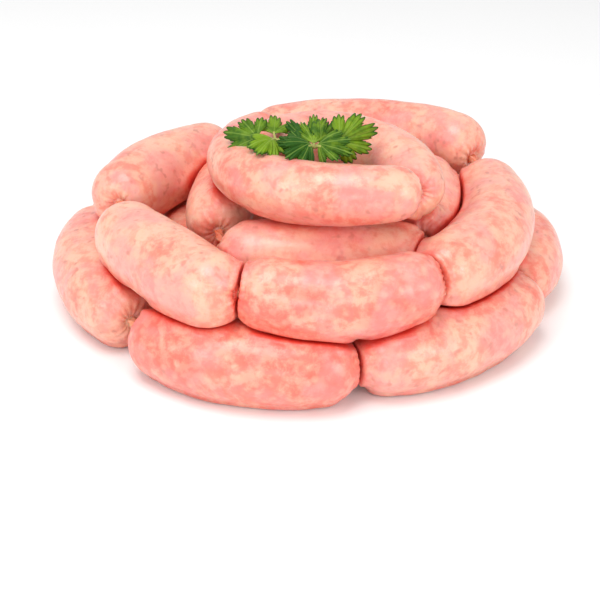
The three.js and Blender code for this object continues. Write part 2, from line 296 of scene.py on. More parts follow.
@dataclass
class StringOfLinks:
    """The whole chain of links, with the twists of empty casing between them, in millimetres."""

    settle: float = 1.1  # how deep a link is flattened on the table
    near: float = 6.0  # widest gap to a link that counts as a neighbour
    contact_gap: float = 0.12  # left between two links that press on each other
    contact_round: float = 1.9  # width over which a pressed face rounds off
    furthest: float = 1.35  # how far filling may swell out, as a share of the radius
    halvings: int = 9  # steps in the search for a contact
    fill_reach: float = 4.2  # widest gap that soft filling swells into
    filled: float = 0.6  # gap that it closes entirely
    free_tip: float = 3.0  # length at a tip that nothing presses
    crease_shade_reach: float = 3.2  # how far from a contact the painted crease shade reaches
    wide_crease_shade: float = 0.22  # fainter painted crease shade, four times as wide
    table_contact_shade: float = 0.35  # painted shade just over the table, mixed towards the deep crease red
    table_reach: float = 5.0
    twist_room: float = 0.9  # from the middle of a twist to the nearest link
    bluntness: float = 2.4  # 2 for a round end, more for a fuller one
    shoulder: float = 1.12  # how far a full end reaches, as a share of the radius
    dimple: float = 3.0  # how deep the gathered casing draws the tip in
    dimple_width: float = 3.6
    neck: float = 1.9  # radius of the gathered casing where a twist begins
    neck_length: float = 1.6
    neck_start: float = 2.2  # from the tip, along the skin
    pleats: int = 13  # folds round a gathered end
    pleat_depth: float = 0.75
    pleats_from: float = 3.5  # the pleats' full depth lies between these, from the tip
    pleats_to: float = 5.0
    gathered: float = 15.0  # where the pleats end
    wrinkled: float = 14.0  # where the fine wrinkles end
    lumps: Bumps = Bumps(0.55, 26.0, 3.1)
    knobs: Bumps = Bumps(0.2, 9.0, 7.7)
    wander: Bumps = Bumps(0.9, 14.0, 5.3)  # of the pleats, sideways
    uneven: Bumps = Bumps(0.6, 11.0, 1.9)  # depth of the pleats
    rings_along: int = 120
    sides: int = 76
    twist_rings: int = 44
    twist_sides: int = 20
    twist_sink: float = 0.6  # how deep a twist is rooted in its links
    waist: float = 1.45  # radius of a twist
    flare: float = 0.35  # how much wider its roots are than the neck
    fray: float = 0.9  # how much wider a loose end is
    strands: int = 4  # spiral folds of a twist
    turn_length: float = 7.0  # of the spiral
    tail_length: float = 7.0
    tail_droop: float = 0.35  # as a share of its length
    spines: list[Spine] = field(default_factory=list)
    meetings: list[np.ndarray] = field(default_factory=list)

    def lay_out(self) -> None:
        """Place every spine, and lean the ends of links in a row towards their shared twist."""
        self.spines = [Spine.of(link) for link in LINKS]
        for before, after in zip(self.spines, self.spines[1:]):
            between = (before.tip(1, before.radii[-1]) + after.tip(0, after.radii[0])) / 2
            meeting = lifted_clear(between, self.spines, self.twist_room)
            before.facings[1] = unit(meeting - before.points[-1])
            after.facings[0] = unit(meeting - after.points[0])
            self.meetings.append(meeting)

    def neighbours_of(self, spine: Spine) -> list[Spine]:
        """List the links near enough to touch one of them."""
        reach = spine.radii.max() + self.near
        others = [other for other in self.spines if other is not spine]
        return [other for other in others if other.clearance(spine.points).min() < reach]

    def rays_of(self, spine: Spine) -> tuple[np.ndarray, np.ndarray, np.ndarray, np.ndarray]:
        """Work out the round shape of a link, before anything presses on it.

        Args:
            spine: The link's spine.

        Returns:
            For each ring and side: the foot of its ray, the ray to the round surface, and for each
            ring the distance from the nearer tip and the share of the way along the link.
        """
        steps = np.linalg.norm(np.diff(spine.points, axis=0), axis=1)
        core = np.concatenate([[0.0], np.cumsum(steps)])
        caps = [spine.radii[0] * math.pi / 2, spine.radii[-1] * math.pi / 2]
        whole = caps[0] + core[-1] + caps[1]
        numbers = np.arange(Spine.SAMPLES + 1)
        around = np.linspace(0.0, 2 * math.pi, self.sides, endpoint=False)
        feet, rays, to_tip, shares = [], [], [], []
        for ring in range(1, self.rings_along):
            way = whole * ring / self.rings_along
            left = min(way, whole - way)
            if caps[0] <= way <= caps[0] + core[-1]:
                position = float(np.interp(way - caps[0], core, numbers))
                foot = np.array([np.interp(position, numbers, column) for column in spine.points.T])
                wide, ahead = float(np.interp(position, numbers, spine.radii)), 0.0
                low, high = int(position), min(int(position) + 1, Spine.SAMPLES)
                blend = position - low
                frames = zip(spine.frame_at(low), spine.frame_at(high))
                axis, side, over = (unit(a * (1 - blend) + b * blend) for a, b in frames)
            else:
                end = 0 if way < caps[0] else 1
                index = end * Spine.SAMPLES
                foot, radius = spine.points[index], spine.radii[index]
                angle = math.pi / 2 - left / radius
                along, side, over = spine.frame_at(index)
                straight = along if end else -along
                axis = unit(straight + (spine.facings[end] - straight) * (angle / (math.pi / 2)))
                lean = turn_between(straight, axis)
                side, over = lean @ side, lean @ over
                powers = math.sin(angle) ** self.bluntness + math.cos(angle) ** self.bluntness
                blunt = powers ** (-1 / self.bluntness)
                wide = radius * math.cos(angle) * blunt
                ahead = radius * math.sin(angle) * blunt * self.shoulder
                ahead -= self.dimple * math.exp(-((wide / self.dimple_width) ** 2))
                ahead += self.neck_length * smooth_step(self.neck_start, 0.0, left)
                wide = -soft_min(-wide, -self.neck, self.neck_length)
            across = np.outer(np.cos(around) * wide, side) + np.outer(np.sin(around) * wide, over)
            feet.append(np.repeat(foot[None, :], self.sides, axis=0))
            rays.append(across + axis * ahead)
            to_tip.append(left)
            shares.append(way / whole)
        return np.array(feet), np.array(rays), np.array(to_tip), np.array(shares)

    def pressed_share(self, spine: Spine, feet: np.ndarray, rays: np.ndarray) -> np.ndarray:
        """Find how far along each ray the link's neighbours and the table let it swell.

        Args:
            spine: The link's spine.
            feet: The feet of the rays.
            rays: The rays to the round surface.

        Returns:
            For each ray the share of its length, up to the furthest where nothing is near.
        """
        others = self.neighbours_of(spine)

        def stays_inside(places: np.ndarray) -> np.ndarray:
            """Tell which places are on the link's own side of every contact."""
            own = spine.clearance(places) + self.contact_gap
            inside = places[:, 2] >= self.settle
            for other in others:
                inside &= own <= other.clearance(places)
            return inside

        inner = np.zeros(len(feet))
        outer = np.full(len(feet), self.furthest)
        free = stays_inside(feet + rays * self.furthest)
        inner[free] = self.furthest
        held = np.flatnonzero(~free)
        for _ in range(self.halvings):
            middle = (inner[held] + outer[held]) / 2
            good = stays_inside(feet[held] + rays[held] * middle[:, None])
            inner[held[good]] = middle[good]
            outer[held[~good]] = middle[~good]
        return inner

    def crease_shade_at(self, spine: Spine, places: np.ndarray) -> np.ndarray:
        """Tell how deep in a crease each point of a link's skin lies, as the mask of the painted shade.

        Args:
            spine: The link's spine.
            places: Points of its skin.

        Returns:
            About 1 where the link presses on a neighbour, falling to 0 in the open.
        """
        room = np.full(len(places), np.inf)
        own = np.clip(spine.clearance(places), None, 0.0)
        for other in self.neighbours_of(spine):
            room = np.minimum(room, other.clearance(places) - own)
        room = np.clip(room, 0.0, None)
        crease = np.exp(-room / self.crease_shade_reach) + self.wide_crease_shade * np.exp(-room / (4 * self.crease_shade_reach))
        # Painted shade just over the table: the mask rises towards the table, so the skin there takes the
        # deep red too.
        return crease + self.table_contact_shade * np.exp(-(places[:, 2] - self.settle) / self.table_reach)

    def swelling(self, places: np.ndarray, around: np.ndarray, to_tip: np.ndarray, number: int
                 ) -> np.ndarray:
        """Work out how the filling and the gathered casing stand out from the round shape.

        Args:
            places: Points of the round surface.
            around: Angle of each point round the link, in radians.
            to_tip: Distance of each point from the nearer tip, along the skin.
            number: Number of the link, from 1, so that each differs.

        Returns:
            Heights over the round surface, in millimetres.
        """
        stuffed = self.lumps.at(places, number) + self.knobs.at(places, number)
        wander = self.wander.at(places, number)
        count = self.pleats + number % 4
        folds = np.cos(count * around + 2.5 * wander)
        folds = folds + 0.5 * np.cos((count - 5) * around + 4 * wander + number)
        near_tip = smooth_step(self.gathered, self.pleats_to, to_tip)
        near_tip = near_tip * smooth_step(0.0, self.pleats_from, to_tip)
        uneven = 0.65 + self.uneven.at(places, number)
        pleated = -self.pleat_depth * 0.5 * (1 - folds / 1.5) * near_tip * uneven
        return stuffed * smooth_step(1.0, 10.0, to_tip) + pleated

    def build_link(self, number: int) -> bpy.types.Object:
        """Model one link.

        Args:
            number: The link's number in the string, from 0.

        Returns:
            The finished piece.
        """
        spine, link = self.spines[number], LINKS[number]
        feet, rays, to_tip, shares = self.rays_of(spine)
        rings, sides = rays.shape[:2]
        feet, rays = feet.reshape(-1, 3), rays.reshape(-1, 3)
        round_length = np.linalg.norm(rays, axis=1)
        limit = self.pressed_share(spine, feet, rays) * round_length
        around = np.tile(np.linspace(0.0, 2 * math.pi, sides, endpoint=False), rings)
        tips = np.repeat(to_tip, sides)
        wanted = round_length + self.swelling(feet + rays, around, tips, number + 1)
        spare = np.clip(limit - wanted, 0.0, None)
        wanted = wanted + spare * smooth_step(self.fill_reach, self.filled, spare)
        length = soft_min(wanted, limit, self.contact_round)
        length = np.where(tips < self.free_tip, wanted, length)
        places = feet + rays / round_length[:, None] * length[:, None]
        # Mask of the painted shade in the creases and just over the table.
        creases = self.crease_shade_at(spine, places).reshape(rings, sides)
        grid = places.reshape(rings, sides, 3)

        builder = bmesh.new()
        bmesh.ops.create_uvsphere(builder, u_segments=sides, v_segments=rings + 1, radius=1.0)
        wrap_layer = builder.verts.layers.float_vector.new("wrap")
        tip_layer, crease_layer, tone_layer = (
            builder.verts.layers.float.new(name) for name in ("tip", "crease", "tone")
        )
        for vert in builder.verts:
            ring, angle = ring_and_angle(vert, rings + 1)
            turn = round(angle / (2 * math.pi) * sides) % sides
            angle = 2 * math.pi * turn / sides
            vert[tone_layer] = link.tone.value
            if 0 < ring <= rings:
                vert[wrap_layer] = (math.cos(angle), math.sin(angle), shares[ring - 1])
                vert[tip_layer] = smooth_step(self.wrinkled, 2.0, to_tip[ring - 1])
                vert[crease_layer] = creases[ring - 1, turn]
                vert.co = to_part(grid[ring - 1, turn])
            else:
                vert[wrap_layer] = (0.0, 0.0, ring / (rings + 1))
                vert[tip_layer] = 1.0
                vert.co = to_part(grid[0 if ring == 0 else -1].mean(axis=0))
        return finished_piece(f"sausage_{number + 1:02d}", builder)

    def build_twist(self, number: int) -> bpy.types.Object:
        """Model the empty casing wound tight between two links.

        Args:
            number: Number of the link before it, from 0.

        Returns:
            The finished piece.
        """
        before, after = self.spines[number], self.spines[number + 1]
        start = before.tip(1, before.radii[-1] - self.twist_sink)
        end = after.tip(0, after.radii[0] - self.twist_sink)
        share = np.linspace(0.0, 1.0, self.twist_rings + 1)[:, None]
        meeting = self.meetings[number]
        path = (1 - share) ** 2 * start + 2 * share * (1 - share) * meeting + share**2 * end
        return self.wound_casing(f"twist_of_casing_{number + 1:02d}", path, closed_end=False)

    def build_tail(self, name: str, spine: Spine, end: int) -> bpy.types.Object:
        """Model the short tied-off tail at a free end of the string.

        Args:
            name: Name of the piece.
            spine: The link that ends there.
            end: 0 at the link's first end, 1 at its last.

        Returns:
            The finished piece.
        """
        start = spine.tip(end, spine.radii[-end] - self.twist_sink)
        share = np.linspace(0.0, 1.0, self.twist_rings + 1)[:, None]
        droop = np.array([0.0, 0.0, -self.tail_droop]) * share**2
        path = start + (spine.facings[end] * share + droop) * (self.tail_length + self.neck_length)
        return self.wound_casing(name, path, closed_end=True)

    def wound_casing(self, name: str, path: np.ndarray, closed_end: bool) -> bpy.types.Object:
        """Model casing wound into a cord with spiral folds.

        Args:
            name: Name of the piece.
            path: Points of its middle line.
            closed_end: True if its far end is loose and frays a little wider.

        Returns:
            The finished piece.
        """
        length = float(np.linalg.norm(np.diff(path, axis=0), axis=1).sum())
        share = np.linspace(0.0, 1.0, len(path))
        waist = self.waist + 0.25 * np.sin(9.0 * share + len(name))
        wide = waist + (self.neck + self.flare - waist) * np.abs(2 * share - 1) ** 3
        if closed_end:
            wide = np.where(share > 0.5, waist + self.fray * smooth_step(0.6, 0.95, share), wide)
        wide = wide * np.sqrt(np.clip(np.minimum(share, 1 - share) / 0.05, 0.0, 1.0))
        tangents = unit(np.gradient(path, axis=0))
        sides = [unit(np.cross(tangents[0], [0.31, 0.17, 0.94]))]
        for tangent in tangents:
            sides.append(unit(sides[-1] - tangent * np.dot(sides[-1], tangent)))

        builder = bmesh.new()
        bmesh.ops.create_uvsphere(
            builder, u_segments=self.twist_sides, v_segments=self.twist_rings, radius=1.0
        )
        for vert in builder.verts:
            ring, angle = ring_and_angle(vert, self.twist_rings)
            wound = angle * self.strands + 2 * math.pi * (length / self.turn_length) * share[ring]
            radius = wide[ring] * (1 + 0.17 * math.cos(wound) + 0.06 * math.cos(2 * wound + 1))
            vert.co = to_part(path[ring] + turned(sides[ring + 1], tangents[ring], angle) * radius)
        return finished_piece(name, builder)


# ---- Parsley ----


class Green(Enum):
    """How dark a leaflet is, from lime to deep green."""

    LIME = 0.1
    LIGHT = 0.35
    MIDDLE = 0.6
    DARK = 0.95


@dataclass(frozen=True)
class Leaflet:
    """One leaflet of the sprig, from the foot of its blade to its crown.

    Places are in millimetres from the heap's measuring point. Lean tips the blade over sideways and
    fan is half the angle that it spreads over, both in degrees. Lobes counts its main lobes.
    """

    foot: Place
    crown: Place
    width: float
    green: Green
    lobes: int = 3
    lean: float = 0.0
    fan: float = 95.0


@dataclass(frozen=True)
class Stalk:
    """One stalk of the sprig, by the places it passes through and its radius."""

    path: tuple[Place, ...]
    radius: float


FORK = (4.2, -71.0, 84.6)
SPLIT = (-11.0, -62.5, 84.2)

LEAFLETS: tuple[Leaflet, ...] = (
    Leaflet((4.0, -70.0, 86.2), (3.6, -54.0, 95.0), 19.0, Green.LIGHT, lobes=5, fan=68),
    Leaflet((2.0, -69.0, 85.6), (-7.5, -57.5, 91.0), 13.0, Green.DARK, lean=-15, fan=80),
    Leaflet((6.5, -69.0, 85.8), (17.0, -55.5, 91.5), 15.0, Green.MIDDLE, lean=10, fan=80),
    Leaflet((14.0, -68.5, 86.6), (30.5, -62.0, 90.0), 20.0, Green.LIGHT, lobes=5, lean=20),
    Leaflet((6.0, -72.0, 86.8), (17.5, -81.0, 88.4), 15.0, Green.MIDDLE, lobes=5, fan=80),
    Leaflet((2.5, -72.0, 87.0), (-5.0, -83.5, 87.8), 16.0, Green.DARK, lobes=5, fan=80),
    Leaflet((-0.5, -70.5, 86.0), (-11.0, -69.5, 87.0), 12.0, Green.DARK, fan=80),
    Leaflet((-18.5, -62.5, 85.2), (-32.5, -58.5, 86.5), 19.0, Green.MIDDLE, lobes=5, fan=105),
    Leaflet((-12.5, -65.0, 85.8), (-17.0, -79.0, 87.0), 16.0, Green.LIME, lobes=5),
    Leaflet((-12.0, -59.0, 85.6), (-11.5, -47.5, 91.0), 13.5, Green.LIGHT, fan=80),
)

STALKS: tuple[Stalk, ...] = (
    Stalk((FORK, (-3.0, -67.0, 85.4), SPLIT, (-16.0, -62.0, 84.6), (-20.5, -62.3, 85.0)), 0.75),
    Stalk((FORK, (4.2, -70.2, 85.4), (4.0, -69.0, 86.0)), 0.6),
    Stalk((FORK, (3.4, -70.0, 85.2), (2.3, -68.7, 85.4)), 0.5),
    Stalk((FORK, (5.5, -70.0, 85.4), (6.8, -68.7, 85.8)), 0.5),
    Stalk((FORK, (9.5, -69.6, 86.2), (15.5, -68.3, 86.8)), 0.55),
    Stalk((FORK, (5.4, -72.4, 85.8), (6.8, -73.9, 86.4)), 0.5),
    Stalk((FORK, (3.2, -72.4, 85.8), (1.8, -73.9, 86.4)), 0.5),
    Stalk((FORK, (1.5, -70.8, 85.3), (-2.0, -69.8, 85.4)), 0.45),
    Stalk((SPLIT, (-11.8, -64.2, 85.0), (-12.6, -66.4, 85.6)), 0.5),
    Stalk((SPLIT, (-11.7, -60.4, 85.0), (-12.0, -57.6, 85.8)), 0.5),
)


@dataclass
class ParsleySprig:
    """A small sprig of flat parsley with lobed, toothed leaflets on thin stalks.

    Teeth, sinus, cup, wave, puff and vein width are shares of a blade's length. Other sizes are in
    millimetres.
    """

    thickness: float = 0.32
    facing: Place = (0.0, -0.75, 0.65)  # the way the blades look
    teeth: float = 3.9  # on the edge of each lobe
    tooth_depth: float = 0.13
    sinus: float = 0.15  # how deep the blade is cut between its lobes
    cup: float = 0.2  # how far the edge bends down
    wave: float = 0.05
    puff: float = 0.014  # how far the blade swells between its veins
    vein_width: float = 0.026
    vein_depth: float = 0.2
    across: int = 180
    outward: int = 14
    stalk_rings: int = 28
    stalk_sides: int = 10
    stalk_easing: int = 12  # rounds of smoothing of its bends
    stalk_green: float = 0.3

    MASKS = ("green", "vein", "rim")

    def lobe_at(self, angle: float, leaflet: Leaflet) -> tuple[int, float]:
        """Find the lobe that a direction falls in, and how far off its middle it is, from -1 to 1."""
        sector = 2 * math.radians(leaflet.fan) / leaflet.lobes
        furthest = leaflet.lobes // 2
        lobe = max(-furthest, min(furthest, round(angle / sector)))
        return lobe, (angle - lobe * sector) / (sector / 2)

    def outline(self, angle: float, leaflet: Leaflet) -> float:
        """Give the reach of a blade's edge in one direction from its foot.

        Args:
            angle: Direction in radians, 0 towards the crown.
            leaflet: The leaflet.

        Returns:
            The reach as a share of the blade's length.
        """
        lobe, off = self.lobe_at(angle, leaflet)
        jitter = math.sin(5.3 * lobe + leaflet.foot[0])
        crown = (1.0 - 0.09 * abs(lobe) + 0.05 * jitter) * (1.0 - 0.2 * off * off)
        sinus = 1.0 - self.sinus * smooth_step(0.84, 1.0, abs(off))
        turns = self.teeth / 2 * off + 0.12 * jitter
        tooth = 1.0 - self.tooth_depth * (1.0 - abs(math.cos(math.pi * turns)) ** 0.8)
        return crown * sinus * tooth

    def add_leaflet(self, builder: bmesh.types.BMesh, leaflet: Leaflet, number: int) -> None:
        """Add one leaflet's blade to the sprig.

        Args:
            builder: The sprig's shape so far.
            leaflet: Where the leaflet is and how large.
            number: Its number, which varies its waves.
        """
        foot, crown = np.array(leaflet.foot), np.array(leaflet.crown)
        length = float(np.linalg.norm(crown - foot))
        along = (crown - foot) / length
        level = unit(np.array(self.facing) - along * np.dot(self.facing, along))
        normal = turned(level, along, math.radians(leaflet.lean))
        side, fan = np.cross(along, normal), math.radians(leaflet.fan)
        widest = max(self.outline(a, leaflet) * math.sin(a) for a in np.linspace(0.1, fan, 40))
        narrow = leaflet.width / 2 / (widest * length)

        blade = bmesh.ops.create_grid(builder, x_segments=self.across, y_segments=self.outward, size=1.0)
        green, vein, rim = (builder.verts.layers.float.get(name) for name in self.MASKS)
        for vert in blade["verts"]:
            angle, out = vert.co.x * fan, (vert.co.y + 1) / 2
            reach = self.outline(angle, leaflet) * out
            ahead, beside = reach * math.cos(angle), reach * math.sin(angle) * narrow
            off = self.lobe_at(angle, leaflet)[1] * fan / leaflet.lobes * reach
            main = math.exp(-((off / self.vein_width) ** 2))
            branch = 0.4 * max(0.0, math.cos(26 * (out - abs(off) * 1.6))) ** 6 * (1 - out * 0.5)
            ribs = max(main, branch)
            wave = math.sin(5.0 * angle + number) * out * out + math.cos(2.2 * angle + number) * out
            puff = -self.puff * math.cos(math.pi * min(1.0, abs(off) / 0.28))
            droop = -self.cup * out**2.4
            height = (droop + self.wave * wave + puff * out + 0.1 * abs(beside)) * length
            height -= self.vein_depth * ribs * out
            vert[green], vert[vein], vert[rim] = leaflet.green.value, ribs, out
            vert.co = to_part(foot + along * (ahead * length) + side * (beside * length) + normal * height)
        foot_row = [vert for vert in blade["verts"] if vert[rim] == 0.0]
        bmesh.ops.remove_doubles(builder, verts=foot_row, dist=0.01 * MM)
        kept = [vert for vert in blade["verts"] if vert.is_valid]
        faces = list(dict.fromkeys(face for vert in kept for face in vert.link_faces))
        builder.normal_update()
        bmesh.ops.solidify(builder, geom=faces, thickness=self.thickness * MM)

    def add_stalk(self, builder: bmesh.types.BMesh, stalk: Stalk) -> None:
        """Add one stalk to the sprig.

        Args:
            builder: The sprig's shape so far.
            stalk: The places that the stalk passes through, and its radius.
        """
        rings = self.stalk_rings
        knots = np.array(stalk.path)
        share = np.linspace(0.0, 1.0, rings + 1)
        spots = np.linspace(0.0, 1.0, len(knots))
        path = np.stack([np.interp(share, spots, column) for column in knots.T], axis=1)
        for _ in range(self.stalk_easing):
            path[1:-1] = (path[:-2] + 2 * path[1:-1] + path[2:]) / 4
        tangents = unit(np.gradient(path, axis=0))
        rod = bmesh.ops.create_uvsphere(
            builder, u_segments=self.stalk_sides, v_segments=rings, radius=1.0
        )
        green = builder.verts.layers.float.get(self.MASKS[0])
        for vert in rod["verts"]:
            ring, angle = ring_and_angle(vert, rings)
            across = unit(np.cross(tangents[ring], [0.1, 0.3, 0.95]))
            ends = math.sqrt(min(1.0, min(ring, rings - ring) / 2))
            radius = stalk.radius * ends * (1.0 + 0.5 * math.exp(-share[ring] * 9))
            vert[green] = self.stalk_green
            vert.co = to_part(path[ring] + turned(across, tangents[ring], angle) * radius)
        for face in {face for vert in rod["verts"] for face in vert.link_faces}:
            face.material_index = 1

    def build(self) -> bpy.types.Object:
        """Model the whole sprig as one piece."""
        builder = bmesh.new()
        for mask in self.MASKS:
            builder.verts.layers.float.new(mask)
        for number, leaflet in enumerate(LEAFLETS):
            self.add_leaflet(builder, leaflet, number)
        for stalk in STALKS:
            self.add_stalk(builder, stalk)
        return finished_piece("sprig_of_parsley", builder)


# ---- Finishes ----

Rgb = tuple[float, float, float]


@dataclass
class NodeBench:
    """Adds shader nodes to one tree and joins them."""

    tree: bpy.types.NodeTree

    def add(self, kind: str, inputs: dict | None = None, **settings: object) -> bpy.types.Node:
        """Add a node.

        Args:
            kind: The node's type.
            inputs: Values or sockets for its inputs, by name or number.
            settings: Values for its own properties.

        Returns:
            The new node.
        """
        node = self.tree.nodes.new(kind)
        for name, value in settings.items():
            setattr(node, name, value)
        self.fill(node, inputs or {})
        return node

    def fill(self, node: bpy.types.Node, inputs: dict) -> None:
        """Join sockets to a node's inputs, or set numbers, colours and vectors on them."""
        for name, value in inputs.items():
            socket = node.inputs[name]
            if isinstance(value, bpy.types.NodeSocket):
                self.tree.links.new(value, socket)
            else:
                socket.default_value = (*value, 1.0) if socket.type == "RGBA" else value

    def math(self, operation: str, a: object, b: object) -> bpy.types.NodeSocket:
        """Combine two values, or sockets, by one operation."""
        return self.add("ShaderNodeMath", {0: a, 1: b}, operation=operation).outputs[0]

    def ramp(self, value: object, low: float, high: float, to_low: float = 0.0, to_high: float = 1.0
             ) -> bpy.types.NodeSocket:
        """Turn a value between low and high smoothly into one between two others."""
        node = self.add(
            "ShaderNodeMapRange",
            {"Value": value, "From Min": low, "From Max": high, "To Min": to_low, "To Max": to_high},
            interpolation_type="SMOOTHSTEP",
        )
        return node.outputs["Result"]

    def mix(self, factor: object, a: object, b: object) -> bpy.types.NodeSocket:
        """Mix two colours by a factor."""
        return self.add("ShaderNodeMix", {0: factor, 6: a, 7: b}, data_type="RGBA").outputs[2]

    def noise(self, place: object, scale: float, detail: float = 2.0, rough: float = 0.5,
              distortion: float = 0.0) -> bpy.types.NodeSocket:
        """Sample smooth noise of a scale in bumps per metre."""
        values = {"Vector": place, "Scale": scale, "Detail": detail, "Roughness": rough}
        return self.add("ShaderNodeTexNoise", values | {"Distortion": distortion}).outputs[0]

    def attribute(self, name: str, output: str = "Fac") -> bpy.types.NodeSocket:
        """Read a value stored on the mesh."""
        return self.add("ShaderNodeAttribute", attribute_name=name).outputs[output]

    def object_place(self) -> bpy.types.NodeSocket:
        """Read where a point of the piece is, in metres."""
        return self.add("ShaderNodeTexCoord").outputs["Object"]


def new_material(name: str) -> tuple[bpy.types.Material, NodeBench, bpy.types.Node]:
    """Start a material, and give it with a bench for its nodes and with its shader."""
    material = bpy.data.materials.new(name)
    material.use_nodes = True
    tree = material.node_tree
    return material, NodeBench(tree), tree.nodes["Principled BSDF"]


def new_group(name: str, inputs: dict[str, object], outputs: dict[str, str]
              ) -> tuple[bpy.types.NodeTree, NodeBench, bpy.types.Node, bpy.types.Node]:
    """Start a shader node group.

    Args:
        name: The group's name.
        inputs: Its inputs with their usual values: a number or a colour.
        outputs: Its outputs with their socket types.

    Returns:
        The group, a bench for it, and its input and output nodes.
    """
    group = bpy.data.node_groups.new(name, "ShaderNodeTree")
    for label, value in inputs.items():
        kind = "NodeSocketColor" if isinstance(value, tuple) else "NodeSocketFloat"
        socket = group.interface.new_socket(name=label, in_out="INPUT", socket_type=kind)
        socket.default_value = (*value, 1.0) if isinstance(value, tuple) else value
    for label, kind in outputs.items():
        group.interface.new_socket(name=label, in_out="OUTPUT", socket_type=kind)
    bench = NodeBench(group)
    return group, bench, bench.add("NodeGroupInput"), bench.add("NodeGroupOutput")


def stuffed_skin_group() -> bpy.types.NodeTree:
    """Build the group that colours filling seen through casing: fat, lean, flecks and the painted red shade
    in creases.
    """
    group, bench, given, result = new_group(
        "filling_through_casing",
        {
            "Fat": (0.9, 0.6, 0.5), "Lean": (0.8, 0.3, 0.22), "Bloom": (0.82, 0.36, 0.34),
            "Painted Crease Shade": (0.55, 0.06, 0.03), "Fleck": (0.60, 0.22, 0.17),
            "Tone": 0.5, "Crease": 0.0, "Flecks": 0.5,
        },
        {"Color": "NodeSocketColor", "Gloss Break": "NodeSocketFloat", "Grain": "NodeSocketFloat"},
    )
    place = bench.object_place()

    # Mince, a fine mottle within broad patches, from fat to lean.
    mottle = bench.noise(place, 180.0, 5.0, 0.66, 0.2)
    patches = bench.ramp(bench.noise(place, 42.0, 2.0, 0.5, 0.3), 0.32, 0.72, -0.5, 0.5)
    lean = bench.math("ADD", bench.ramp(mottle, 0.37, 0.63), patches)
    lean = bench.math("ADD", bench.math("MULTIPLY", lean, 0.68), given.outputs["Tone"])
    color = bench.mix(bench.ramp(lean, -0.15, 1.5), given.outputs["Fat"], given.outputs["Lean"])

    # Pink bloom of the casing, and globs of fat that press against it.
    bloom = bench.ramp(bench.noise(place, 58.0, 3.0, 0.55, 0.4), 0.44, 0.66, 0.0, 0.55)
    color = bench.mix(bloom, color, given.outputs["Bloom"])
    globs = bench.add("ShaderNodeTexVoronoi", {"Vector": place, "Scale": 210.0, "Randomness": 1.0})
    fat_globs = bench.ramp(globs.outputs["Distance"], 0.42, 0.12, 0.0, 0.35)
    color = bench.mix(fat_globs, color, given.outputs["Fat"])

    # Small dark flecks of lean and seasoning, in loose clusters.
    flecks = bench.ramp(bench.noise(place, 310.0, 1.0), 0.55, 0.74)
    flecks = bench.math("MULTIPLY", flecks, bench.ramp(bench.noise(place, 120.0, 1.0), 0.38, 0.62))
    flecks = bench.math("MULTIPLY", flecks, given.outputs["Flecks"])
    color = bench.mix(flecks, color, given.outputs["Fleck"])

    # Painted shade: where the crease mask is high, the colour is mixed towards the deep red of the painted
    # crease shade.
    crease = bench.math("ADD", given.outputs["Crease"], bench.ramp(mottle, 0.3, 0.7, -0.08, 0.08))
    color = bench.mix(bench.ramp(crease, 0.02, 1.0), color, given.outputs["Painted Crease Shade"])
    grain = bench.math("ADD", bench.math("MULTIPLY", mottle, 0.5), bench.noise(place, 700.0, 2.0))
    gloss_break = bench.noise(place, 420.0, 3.0, 0.6)
    bench.fill(result, {"Color": color, "Gloss Break": gloss_break, "Grain": grain})
    return group


@dataclass(frozen=True)
class CasingFinish:
    """Moist natural casing over minced meat.

    Fat and lean are the ends of the range of colours of the filling, and bloom is the pink of the
    casing over it. The painted crease shade is a deep red painted into the colour where two links press
    together, standing in for shade and red light in the creases. On the links it also reads the tone,
    creases and wrinkles stored on their skins.
    """

    name: str
    fat: Rgb
    lean: Rgb
    bloom: Rgb
    painted_crease_shade: Rgb
    flecks: float
    roughness: float
    subsurface: float
    depth: float
    coat: float
    bump: float
    on_links: bool = True

    def make(self, group: bpy.types.NodeTree) -> bpy.types.Material:
        """Build the material.

        Args:
            group: The shared group that colours the filling.

        Returns:
            The new material.
        """
        material, bench, shader = new_material(self.name)
        colors = {"Fat": self.fat, "Lean": self.lean, "Bloom": self.bloom, "Painted Crease Shade": self.painted_crease_shade}
        filling = bench.add("ShaderNodeGroup", colors | {"Flecks": self.flecks}, node_tree=group)
        bumps = bench.math("MULTIPLY", filling.outputs["Grain"], 0.6)
        if self.on_links:
            bench.fill(filling, {"Tone": bench.attribute("tone"), "Crease": bench.attribute("crease")})
            wrap = bench.attribute("wrap", "Vector")
            stretched = bench.add("ShaderNodeMapping", {"Vector": wrap, "Scale": (6.0, 6.0, 3.0)})
            wrinkles = bench.noise(stretched.outputs["Vector"], 1.0, 1.0)
            fade = bench.ramp(bench.attribute("tip"), 0.0, 1.0, 0.04, 0.45)
            bumps = bench.math("ADD", bumps, bench.math("MULTIPLY", wrinkles, fade))
        low, high = self.roughness - 0.07, self.roughness + 0.1
        roughness = bench.ramp(filling.outputs["Gloss Break"], 0.3, 0.7, low, high)
        relief = bench.add("ShaderNodeBump", {"Height": bumps, "Strength": self.bump, "Distance": 0.0006})
        bench.fill(shader, {
            "Base Color": filling.outputs["Color"], "Roughness": roughness,
            "Normal": relief.outputs["Normal"], "Specular IOR Level": 0.42,
            "Subsurface Weight": self.subsurface, "Subsurface Radius": (1.0, 0.32, 0.16),
            "Subsurface Scale": self.depth, "Coat Weight": self.coat, "Coat Roughness": 0.27,
        })
        return material


